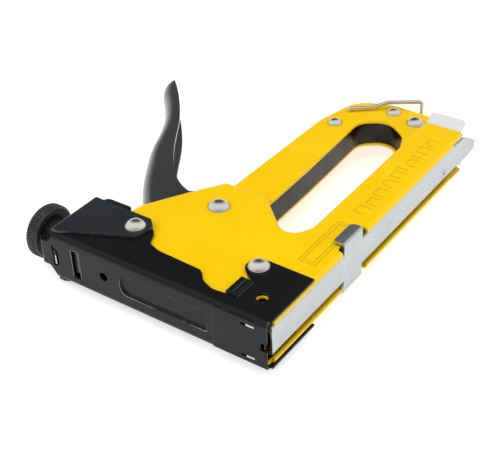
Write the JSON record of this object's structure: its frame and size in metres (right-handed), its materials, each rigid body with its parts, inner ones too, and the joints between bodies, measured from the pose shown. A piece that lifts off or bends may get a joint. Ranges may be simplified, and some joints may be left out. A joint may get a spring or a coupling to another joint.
{
  "type": "staple gun",
  "caption": "Hand staple gun with a squeeze lever over a pressed-steel body and a finger opening, a black nose cover, a force knob and a drop-down staple rail.",
  "frame": {"origin": "centre of the bounding box's bottom face, with the tool lying on its right side", "axes": "+X from the nose to the rear along the magazine, +Y from the staple outlet up to the force knob, +Z out of the tool's left side"},
  "size_m": [0.1802, 0.154, 0.032],
  "materials": {
    "yellow_paint": "glossy",
    "black_paint": "glossy",
    "lever_paint": "semi-gloss",
    "dark_zinc": "satin",
    "nickel": "polished",
    "galvanised": "satin",
    "steel": "satin",
    "spring_steel": "satin",
    "knob_metal": "knurled",
    "rubber": "matt"
  },
  "bodies": {
    "frame": {"left_shell": "yellow_paint", "right_shell": "yellow_paint", "nose_cover": "black_paint", "top_cap": "black_paint", "main_spring": "spring_steel", "hammer_bumper": "rubber", "lever_pivot_rivet": "nickel", "pivot_bush": "steel", "lever_spring": "spring_steel", "nose_rivet": "nickel", "cap_rivets": "nickel", "grip_rivets": "nickel", "rear_rivet": "nickel", "grip_sleeves": "steel", "nose_sleeve": "steel", "grip_liner": "dark_zinc", "rear_plate": "galvanised", "staple_guide": "steel", "rail_hinge_pin": "steel"},
    "lever": {"lever": "lever_paint", "lifting_pin": "steel"},
    "hammer": {"hammer": "steel", "striker_blade": "steel"},
    "knob": {"force_knob": "knob_metal", "adjusting_screw": "steel"},
    "nut": {"spring_nut": "steel"},
    "bail": {"lock_bail": "nickel"},
    "rail": {"magazine_rail": "galvanised", "staple_core": "steel", "pusher_rod": "steel", "staple_strip": "nickel"},
    "pusher": {"pusher": "steel", "pusher_spring": "spring_steel"}
  },
  "joints": [
    {"name": "lever_hinge", "type": "hinge", "parent": "frame", "child": "lever", "pos_m": [-0.03665, -0.01545, 0.016], "axis": [0, 0, 1], "range_deg": [-38, 0], "stiffness_Nm_per_rad": 1.5, "springref_deg": 20.05, "deforming": ["lever_spring"]},
    {"name": "hammer_slide", "type": "slide", "parent": "frame", "child": "hammer", "axis": [0, 1, 0], "range_m": [0, 0.01565], "deforming": ["main_spring"]},
    {"name": "knob_turn", "type": "hinge", "parent": "frame", "child": "knob", "pos_m": [-0.07765, 0.04375, 0.016], "axis": [0, 1, 0], "range_deg": [0, 1080]},
    {"name": "nut_slide", "type": "slide", "parent": "frame", "child": "nut", "axis": [0, -1, 0], "range_m": [0, 0.00376]},
    {"name": "bail_swing", "type": "hinge", "parent": "frame", "child": "bail", "pos_m": [0.06835, -0.01705, 0.016], "axis": [0, 0, 1], "range_deg": [0, 180]},
    {"name": "rail_drop", "type": "hinge", "parent": "frame", "child": "rail", "pos_m": [0.06785, -0.07105, 0.016], "axis": [0, 0, 1], "range_deg": [0, 20]},
    {"name": "pusher_slide", "type": "slide", "parent": "rail", "child": "pusher", "axis": [1, 0, 0], "range_m": [0, 0.065], "stiffness_N_per_m": 40, "springref_m": -0.12, "deforming": ["pusher_spring"]}
  ],
  "couplings": [
    {"joint": "hammer_slide", "follows": "lever_hinge", "m_per_rad": -0.023563},
    {"joint": "nut_slide", "follows": "knob_turn", "m_per_rad": 0.00019894}
  ]
}
